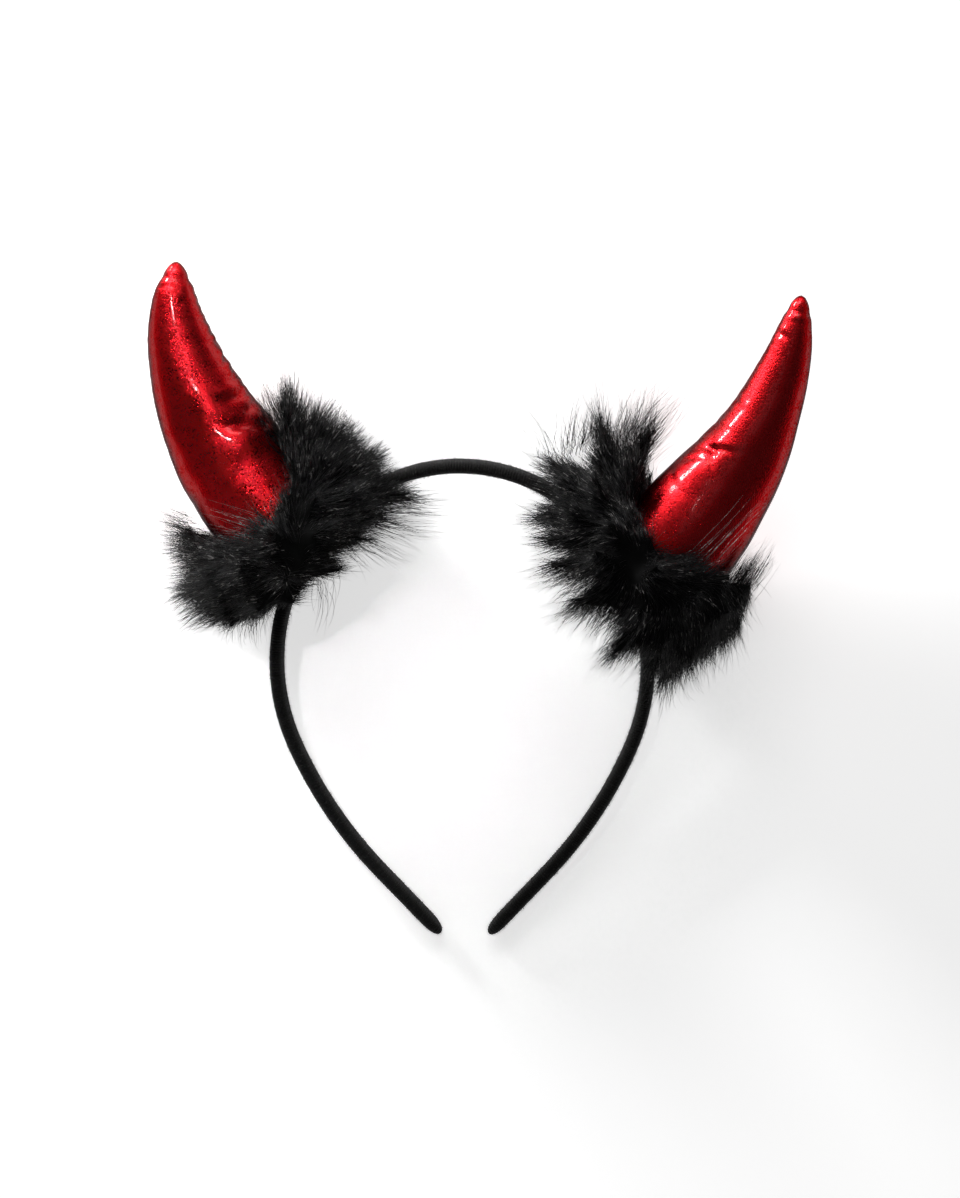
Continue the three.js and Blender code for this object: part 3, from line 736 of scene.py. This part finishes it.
def brushed(name, spots):
    """The way of the brush and the length share at points, blended from the nearest rows."""
    rows = BRUSH[name]
    gap = ((spots[:, None, :2] - rows[None, :, :2]) ** 2).sum(2)
    weight = 1 / (gap + BRUSH_BLEND) ** 2
    weight /= weight.sum(1, keepdims=True)
    way = weight @ rows[:, 2:4]
    return unit(np.column_stack([way, np.zeros(len(way))])), weight @ rows[:, 4]


def grown(name, spots, ways, lengths, steps, wave, cling, clumps):
    """Paths of brushed hairs from their roots, first ways and lengths. Wave is how far they
    scatter, cling how much they follow the leader of their clump."""
    count = len(spots)
    share = np.linspace(0, 1, steps)[None, :, None]
    turned = brushed(name, spots + ways * BRUSH_AHEAD)[0][:, None] - ways[:, None] * 0.5
    bend = rng.normal(scale=wave, size=(count, 1, 3)) + BRUSH_TURN * turned
    bend = bend - SAG * np.array([0, UP[2], FRONT[2]])
    paths = spots[:, None] + ways[:, None] * lengths[:, None, None] * share
    paths = paths + bend * lengths[:, None, None] * share ** 2
    leaders = rng.choice(count, clumps, replace=False)
    gap = ((spots[:, None] - spots[leaders][None]) ** 2).sum(2)
    leader = leaders[gap.argmin(1)]
    hold = cling * rng.uniform(0.4, 1.1, (count, 1, 1)) * share ** 1.6
    return kept_out(HORNS[name], paths + (paths[leader] - paths) * hold)


def coat_roots(name, count, lift):
    """Roots all over the outside of a collar's underfur, with the brushed ways there and the
    shares of their length. Lift is how far the hair stands up from the ring."""
    horn = HORNS[name]
    spots, normals = to_plane(*scattered(underfur[name].data, int(count * ROOT_TRIES)))
    along, aside, front, _ = horn_coordinates(horn, spots)
    fine = (np.hypot(aside, front) > ROOT_GAP) | (along > ROOT_REACH)
    fine &= height_of(spots) > ROOT_HEIGHT
    spots, normals = spots[fine][:count], normals[fine][:count]
    ways, reach = brushed(name, spots)
    ways = ways - np.minimum((ways * normals).sum(1, keepdims=True), 0) * normals
    sideways = 1 - np.abs(normals[:, 2:])
    lift = lift * (0.4 + 0.9 * sideways)
    reach = np.maximum(reach, BACK_LENGTH * (spots[:, 2] < BACK_DEPTH))
    ways = unit(ways + lift * normals + rng.normal(scale=WAY_SCATTER, size=ways.shape))
    return spots - ROOT_DEPTH * normals, ways, reach


def tapered(count, steps, thickness, tip=0.25):
    """Thickness of hairs: full at the root, thin at the tip, each a little different."""
    form = 1 - (1 - tip) * np.linspace(0, 1, steps) ** 1.5
    return thickness * form[None] * rng.uniform(0.7, 1.3, (count, 1))


def at_ring(horn, points):
    """Depth in the hoop's plane (mm) where wisps start, in the front of the collar."""
    return nearest_on_ring(horn, points + np.array([0, 0, WISP_FORWARD]))[1][:, 2] * WISP_START


def over_horn(horn, points):
    """Depth in the hoop's plane (mm) just above the front of the horn."""
    _, aside, _, nearest = horn_coordinates(horn, points * (1, 1, 0))
    deep = horn_line(horn, FINE_STEPS)[3][nearest]
    return deep * np.sqrt(np.maximum(1 - aside ** 2, STRAY_EDGE)) * STRAY_DEPTH + STRAY_LIFT


def drawn(horn, rows, depth_of, curl):
    """Paths of the hairs of wisps, from rows of root, tip, hairs and spread. Curl is in mm."""
    share = np.linspace(0, 1, WISP_POINTS)[None, :, None]
    made = []
    for root_x, root_y, tip_x, tip_y, hairs, apart in rows:
        root = np.array([*from_photo(root_x, root_y), 0])
        tip = np.array([*from_photo(tip_x, tip_y), 0])
        reach = rng.uniform(0.55, 1.05, (hairs, 1))
        scatter = rng.normal(scale=WISP_ROOTS, size=(hairs, 3)) * (1, 1, 0)
        roots = root + scatter
        scatter = rng.normal(scale=apart * WISP_TIPS, size=(hairs, 3)) * reach
        tips = roots + (tip - root) * reach + scatter
        roots[:, 2] = depth_of(horn, roots) + rng.normal(scale=WISP_DEPTH, size=hairs)
        tips[:, 2] += depth_of(horn, roots) + rng.normal(scale=WISP_DEPTH)
        bend = rng.normal(scale=curl, size=(hairs, 1, 3)) + rng.normal(scale=curl, size=3)
        straight = roots[:, None] * (1 - share) + tips[:, None] * share
        made.append(straight + bend * share * (1 - share) * 2)
    return kept_out(horn, np.concatenate(made))


# %% [markdown]
# ## Four coats on each collar
# Real fur has a short dense undercoat and longer guard hairs over it, so each collar gets
# both, and then the wisps and the few strays over the horn, which are painted pale, a painted
# highlight. Thickness falls from the undercoat to the strays. The hairs are thicker than real
# ones, because so there can be fewer.

# %% Grow the fur
UNDER_COUNT, UNDER_LENGTHS, UNDER_THICKNESS = 15000, (5, 10), 0.17
GUARD_COUNT, GUARD_LENGTHS, GUARD_THICKNESS = 7600, (8, 17), 0.13
UNDER_POINTS, GUARD_POINTS = 3, 5
STRAY_THICKNESS = 0.1
# The glint tones: up to this in the undercoat and the wisps, up to 1 in the guard hairs. A
# stray's tone is over 1, which paints it pale all along, a painted highlight.
UNDER_TONE, WISP_TONE, STRAY_TONE = 0.9, 0.8, 2.0

coats = []
for name, horn in HORNS.items():
    spots, ways, reach = coat_roots(name, UNDER_COUNT, lift=0.5)
    lengths = reach * rng.uniform(*UNDER_LENGTHS, len(spots))
    paths = grown(name, spots, ways, lengths, UNDER_POINTS, wave=0.16, cling=0.3, clumps=420)
    thick = tapered(len(spots), UNDER_POINTS, UNDER_THICKNESS)
    coats.append(coat(f"fur_under_{name}", paths, thick, rng.random(len(spots)) * UNDER_TONE))

    spots, ways, reach = coat_roots(name, GUARD_COUNT, lift=0.42)
    lengths = reach * rng.uniform(*GUARD_LENGTHS, len(spots))
    paths = grown(name, spots, ways, lengths, GUARD_POINTS, wave=0.2, cling=0.34, clumps=300)
    thick = tapered(len(spots), GUARD_POINTS, GUARD_THICKNESS)
    coats.append(coat(f"fur_guard_{name}", paths, thick, rng.random(len(spots))))

    paths = drawn(horn, WISPS[name], at_ring, curl=1.4)
    thick = tapered(len(paths), WISP_POINTS, GUARD_THICKNESS)
    coats.append(coat(f"fur_wisps_{name}", paths, thick, rng.random(len(paths)) * WISP_TONE))

    paths = drawn(horn, STRAYS[name], over_horn, curl=1.0)
    thick = tapered(len(paths), WISP_POINTS, STRAY_THICKNESS)
    coats.append(coat(f"fur_strays_{name}", paths, thick, np.full(len(paths), STRAY_TONE)))

# %% [markdown]
# ## Finishes
# Three finishes make the look. The foil is a metal film on knitted cloth: bright where it
# faces the lamp, broken up by the grain of the knit, and painted darker red towards its edges
# as the camera sees them, a painted shade. Velvet swallows light, apart from the ribs. The hair
# is almost black, but each fibre is smooth, and some carry a fine pale painted glint. The foot
# of each horn, deep in the fur, is black backing cloth.

# %% A shared grain
def add_group_socket(tree, name, in_out, value=None):
    """Adds a number going into or out of a group."""
    socket = tree.interface.new_socket(name=name, in_out=in_out, socket_type="NodeSocketFloat")
    if value is not None:
        socket.default_value = value


def node(tree, kind, place, **inputs):
    """Adds a node; inputs are named values or sockets to link."""
    made = tree.nodes.new(kind)
    made.location = place
    for key, value in inputs.items():
        socket = made.inputs[key.replace("_", " ")]
        if isinstance(value, bpy.types.NodeSocket):
            tree.links.new(value, socket)
        else:
            socket.default_value = value
    return made


def math_node(tree, operation, place, a, b=None, c=None):
    """Adds a calculation with numbers or sockets and returns its result."""
    made = tree.nodes.new("ShaderNodeMath")
    made.operation, made.location = operation, place
    for index, value in enumerate((a, b, c)):
        if isinstance(value, bpy.types.NodeSocket):
            tree.links.new(value, made.inputs[index])
        elif value is not None:
            made.inputs[index].default_value = value
    return made.outputs[0]


grain = bpy.data.node_groups.new("Cloth grain", "ShaderNodeTree")
for name, value in (("Fine size", 1500.0), ("Coarse size", 220.0), ("Coarse share", 0.4)):
    add_group_socket(grain, name, "INPUT", value)
for name in ("Height", "Painted glint"):
    add_group_socket(grain, name, "OUTPUT")
inside = grain.nodes.new("NodeGroupInput")
outside = grain.nodes.new("NodeGroupOutput")
place = node(grain, "ShaderNodeTexCoord", (-800, 0)).outputs["Object"]
fine = node(grain, "ShaderNodeTexNoise", (-600, 100), Vector=place,
            Scale=inside.outputs["Fine size"], Detail=2.0)
coarse = node(grain, "ShaderNodeTexNoise", (-600, -150), Vector=place,
              Scale=inside.outputs["Coarse size"], Detail=3.0)
mixed = math_node(grain, "MULTIPLY_ADD", (-300, 0), coarse.outputs["Fac"],
                  inside.outputs["Coarse share"], fine.outputs["Fac"])
# The flecks pick the fibres that get a painted glint, pale specks painted into the fur's colour.
glint_flecks = node(grain, "ShaderNodeTexVoronoi", (-600, -400), Vector=place,
              Scale=inside.outputs["Fine size"])
GLINT_FLECK_FROM = 0.72
glint_fleck = math_node(grain, "GREATER_THAN", (-300, -300), glint_flecks.outputs["Color"], GLINT_FLECK_FROM)
grain.links.new(mixed, outside.inputs["Height"])
grain.links.new(glint_fleck, outside.inputs["Painted glint"])
print("group", grain.name, "puts out", [s.name for s in grain.interface.items_tree if s.in_out == "OUTPUT"])


def new_finish(name, **sockets):
    """A material with its constant values set on the shader's own sockets."""
    material = bpy.data.materials.new(name)
    material.use_nodes = True
    shader = material.node_tree.nodes["Principled BSDF"]
    for key, value in sockets.items():
        shader.inputs[key.replace("_", " ")].default_value = value
    return material, material.node_tree, shader


def grain_node(tree, fine, coarse, share):
    """Puts the shared grain into a material."""
    made = tree.nodes.new("ShaderNodeGroup")
    made.node_tree = grain
    for key, value in (("Fine size", fine), ("Coarse size", coarse), ("Coarse share", share)):
        made.inputs[key].default_value = value
    return made


def stored(tree, name, place):
    """The number that the mesh stores under this name."""
    made = tree.nodes.new("ShaderNodeAttribute")
    made.attribute_name, made.location = name, place
    return made.outputs["Fac"]


def two_tone(tree, place, factor, first, last):
    """A ramp from one colour to another."""
    ramp = node(tree, "ShaderNodeValToRGB", place, Fac=factor)
    ramp.color_ramp.elements[0].color = (*first, 1)
    ramp.color_ramp.elements[1].color = (*last, 1)
    return ramp


# %% [markdown]
# ## Red foil
# Foil on a knit has three looks at once. The metal film gives broad red reflections that its
# grain breaks up. A clear top gives the white streaks, but only where the film lies smooth
# and faces us. Seen at a slant the metal gives way to plain red, and that red is painted dark
# towards the edges as the camera sees them, a painted shade. The knit's rows run a little aslant
# round the horn.

# %% Make the foil
# The knit: how far its rows climb (mm for each radian round the horn), how fast they follow
# each other (radians of a wave for each millimetre) and their share of the bumps.
KNIT_SLANT, KNIT_RATE, KNIT_SHARE = 12.0, 8.4, 0.1
GLOSS_SHARE = 0.65
foil, tree, shader = new_finish("red foil", Coat_Roughness=0.12, Specular_IOR_Level=0.1,
                                Specular_Tint=(0.12, 0.002, 0.002, 1))
cloth = grain_node(tree, 1700.0, 260.0, 0.5)
slanted = math_node(tree, "MULTIPLY_ADD", (-900, 300), stored(tree, "around", (-1100, 400)),
                    KNIT_SLANT, stored(tree, "along", (-1100, 250)))
knit = math_node(tree, "SINE", (-700, 300),
                 math_node(tree, "MULTIPLY", (-800, 300), slanted, KNIT_RATE))
height = math_node(tree, "MULTIPLY_ADD", (-500, 200), knit, KNIT_SHARE, cloth.outputs["Height"])
bump = node(tree, "ShaderNodeBump", (-300, 0), Strength=0.62, Distance=0.00024, Height=height)
tree.links.new(bump.outputs["Normal"], shader.inputs["Normal"])
# Painted shade: the base colour runs from bright red where the foil faces the camera to dark red at its
# edges.
edge = node(tree, "ShaderNodeLayerWeight", (-700, -200), Blend=0.42)
red_with_painted_edge_shade = two_tone(tree, (-500, -200), edge.outputs["Facing"], (0.66, 0.011, 0.016), (0.09, 0.0015, 0.003))
red_with_painted_edge_shade.color_ramp.elements[1].position = 0.78
tree.links.new(red_with_painted_edge_shade.outputs["Color"], shader.inputs["Base Color"])
turned_away = math_node(tree, "SUBTRACT", (-500, -500), 1.0, edge.outputs["Facing"])
broken = node(tree, "ShaderNodeMapRange", (-500, -800), Value=cloth.outputs["Height"],
              From_Min=0.64, From_Max=0.84, To_Min=0.05, To_Max=1.0)
gloss = math_node(tree, "MULTIPLY", (-300, -500), turned_away, broken.outputs["Result"])
gloss = math_node(tree, "MULTIPLY", (-200, -500), gloss, GLOSS_SHARE)
tree.links.new(gloss, shader.inputs["Coat Weight"])
film = node(tree, "ShaderNodeMapRange", (-300, -650), Value=edge.outputs["Facing"],
            From_Min=0.7, From_Max=0.93, To_Min=0.95, To_Max=0.1)
tree.links.new(film.outputs["Result"], shader.inputs["Metallic"])
rough = math_node(tree, "MULTIPLY_ADD", (-300, -400), cloth.outputs["Height"], 0.2, 0.14)
tree.links.new(rough, shader.inputs["Roughness"])

# %% [markdown]
# ## Black velvet and black fur
# The two blacks differ in how they take light. The velvet is rough, with fine ribs across the
# strip. The hair is smooth and black in depth; a few fibres get pale specks painted into their
# colour, painted glints, and the strays over the horn are painted pale all along, a painted
# highlight.

# %% Make the velvet and the fur
# The ribs, in the same way: radians of a wave for each millimetre, and share of the bumps.
RIB_RATE, RIB_SHARE = 7.0, 0.22
velvet, tree, shader = new_finish("black velvet", Roughness=0.85, Sheen_Weight=0.06,
                                  Sheen_Roughness=0.4, Specular_IOR_Level=0.25,
                                  Base_Color=(0.003, 0.0026, 0.0024, 1))
cloth = grain_node(tree, 2600.0, 500.0, 0.4)
along = stored(tree, "along", (-1000, 300))
ribs = math_node(tree, "SINE", (-700, 300),
                 math_node(tree, "MULTIPLY", (-800, 300), along, RIB_RATE))
height = math_node(tree, "MULTIPLY_ADD", (-500, 200), ribs, RIB_SHARE, cloth.outputs["Height"])
bump = node(tree, "ShaderNodeBump", (-300, 0), Strength=0.8, Distance=0.0005, Height=height)
tree.links.new(bump.outputs["Normal"], shader.inputs["Normal"])

# Strands with a glint tone over this are strays, painted pale all along, a painted highlight.
STRAY_FROM, STRAY_GLINT = 1.5, 0.3
fur, tree, shader = new_finish("black fur", Roughness=0.38, Specular_IOR_Level=0.25)
glint_tone = stored(tree, "glint_tone", (-800, 0))
glint_flecks = grain_node(tree, 800.0, 220.0, 0.4)
# Painted glints: strands with a glint tone over 0.74 get pale flecks painted into their colour.
painted_glint_share = node(tree, "ShaderNodeMapRange", (-600, 0), Value=glint_tone, From_Min=0.74, From_Max=1.0)
painted_glint = math_node(tree, "MULTIPLY", (-400, 0), painted_glint_share.outputs["Result"], glint_flecks.outputs["Painted glint"])
# Painted highlight: strays are painted pale along their whole length.
painted_stray_glint = math_node(tree, "GREATER_THAN", (-600, -250), glint_tone, STRAY_FROM)
painted_stray_glint = math_node(tree, "MULTIPLY", (-450, -250), painted_stray_glint, STRAY_GLINT)
painted_glint = math_node(tree, "MAXIMUM", (-300, 0), painted_glint, painted_stray_glint)
fur_colour_with_painted_glints = two_tone(tree, (-200, 0), painted_glint, (0.0014, 0.0014, 0.0017), (0.6, 0.58, 0.56))
tree.links.new(fur_colour_with_painted_glints.outputs["Color"], shader.inputs["Base Color"])

deep_fur = new_finish("underfur", Roughness=0.9, Specular_IOR_Level=0.05,
                      Base_Color=(0.003, 0.003, 0.003, 1))[0]

# How far up the horn its black backing cloth goes (mm).
BACKING_REACH = 5.0
for piece, finish in ([(s, foil) for s in skins.values()] + [(hoop, velvet), (pile, velvet)]
                      + [(u, deep_fur) for u in underfur.values()] + [(c, fur) for c in coats]):
    piece.data.materials.clear()
    piece.data.materials.append(finish)
for skin in skins.values():
    skin.data.materials.append(deep_fur)
    along = np.empty(len(skin.data.vertices), np.float32)
    skin.data.attributes["along"].data.foreach_get("value", along)
    under = [int(max(along[i] for i in face.vertices) < BACKING_REACH)
             for face in skin.data.polygons]
    skin.data.polygons.foreach_set("material_index", under)
    print(skin.name, "has", sum(under), "faces of black backing cloth at its foot")
print("finishes:", [m.name for m in (foil, velvet, fur, deep_fur)])

# %% [markdown]
# ## Table and lamps
# The streaks on the horns say where the lamps were. The lamp beyond the crown, low and to the
# left, draws the white line down the right horn. A wide soft one beyond the crown lights the
# tops, a weak one overhead and one beyond the hoop's ends fill in. The highlight in the
# middle of the left horn needs a small narrow lamp over it. The table shines a little of its
# own light, which makes it the bright ground of a product photo.

# %% Table and lamps
bpy.ops.object.select_all(action="DESELECT")
bpy.ops.mesh.primitive_plane_add(size=40, location=(0, 0, 0))
table = bpy.context.object
table.name = "table"
paper = new_finish("pale paper", Base_Color=(0.86, 0.86, 0.86, 1), Roughness=0.9,
                   Emission_Color=(1, 1, 1, 1), Emission_Strength=0.66)[0]
table.data.materials.append(paper)

scene = bpy.context.scene
scene.view_settings.view_transform = "Standard"
scene.world = bpy.data.worlds.new("room")
scene.world.use_nodes = True
background = scene.world.node_tree.nodes["Background"]
background.inputs["Color"].default_value = (1, 1, 1, 1)
background.inputs["Strength"].default_value = 0.045


def lamp(name, direction, distance, size, watts, target=(0, 0, 0), spread=180):
    """A soft rectangular lamp; distance, size and target in metres, spread in degrees."""
    light = bpy.data.lights.new(name, "AREA")
    light.shape, light.size, light.size_y, light.energy = "RECTANGLE", *size, watts
    light.spread = math.radians(spread)
    piece = bpy.data.objects.new(name, light)
    scene.collection.objects.link(piece)
    way = Vector(direction).normalized()
    piece.location = Vector(target) + way * distance
    piece.rotation_euler = way.to_track_quat("Z", "Y").to_euler()


lamp("streak lamp", (-0.62, 0.76, 0.25), distance=1.3, size=(0.4, 0.24), watts=22)
lamp("soft lamp", (-0.1, 0.8, 0.65), distance=1.6, size=(1.1, 0.5), watts=7)
lamp("overhead lamp", (-0.05, 0.15, 1.0), distance=1.8, size=(0.8, 0.8), watts=0.35)
lamp("left horn lamp", (-0.12, 0.27, 0.94), distance=1.5, size=(0.16, 0.3), watts=0.045,
     target=(-0.09, 0.055, 0.03), spread=6)
lamp("fill lamp", (-0.35, -0.8, 0.6), distance=1.8, size=(1.4, 0.9), watts=2)

# %% [markdown]
# ## Camera
# The photographer looked nearly straight down at the table, from a little to the right. The
# hoop leans back, so it is seen about ten degrees from its crown's side. The camera stands
# 900 mm off, and its lens is set so that three pixels of the photo make a millimetre there.

# %% Camera
VIEW_WAY, VIEW_TILT, DISTANCE = (0.07, 0.0, 1.0), 9.5, 900.0
PHOTO_HEIGHT, SENSOR = 1198, 36
tilt = math.radians(VIEW_TILT)
level = Matrix([(1, 0, 0), (0, math.cos(tilt), math.sin(tilt)),
                (0, -math.sin(tilt), math.cos(tilt))])
turn_plane = PLANE.to_3x3()
back = turn_plane @ (level @ Vector(VIEW_WAY).normalized())
above = turn_plane @ (level @ Vector((0, 1, 0)))
right = above.cross(back)
camera = bpy.data.objects.new("camera", bpy.data.cameras.new("camera"))
scene.collection.objects.link(camera)
eye = PLANE @ (Vector(VIEW_POINT) * MM) + back * DISTANCE * MM
camera_rows = [[right[i], above[i], back[i], eye[i]] for i in range(3)]
camera.matrix_world = Matrix(camera_rows + [[0, 0, 0, 1]])
camera.data.sensor_width = SENSOR
camera.data.lens = PIXELS_PER_MM * DISTANCE * SENSOR / PHOTO_HEIGHT
scene.camera = camera
print("camera at", [round(x, 3) for x in eye], "lens", round(camera.data.lens, 1), "mm")
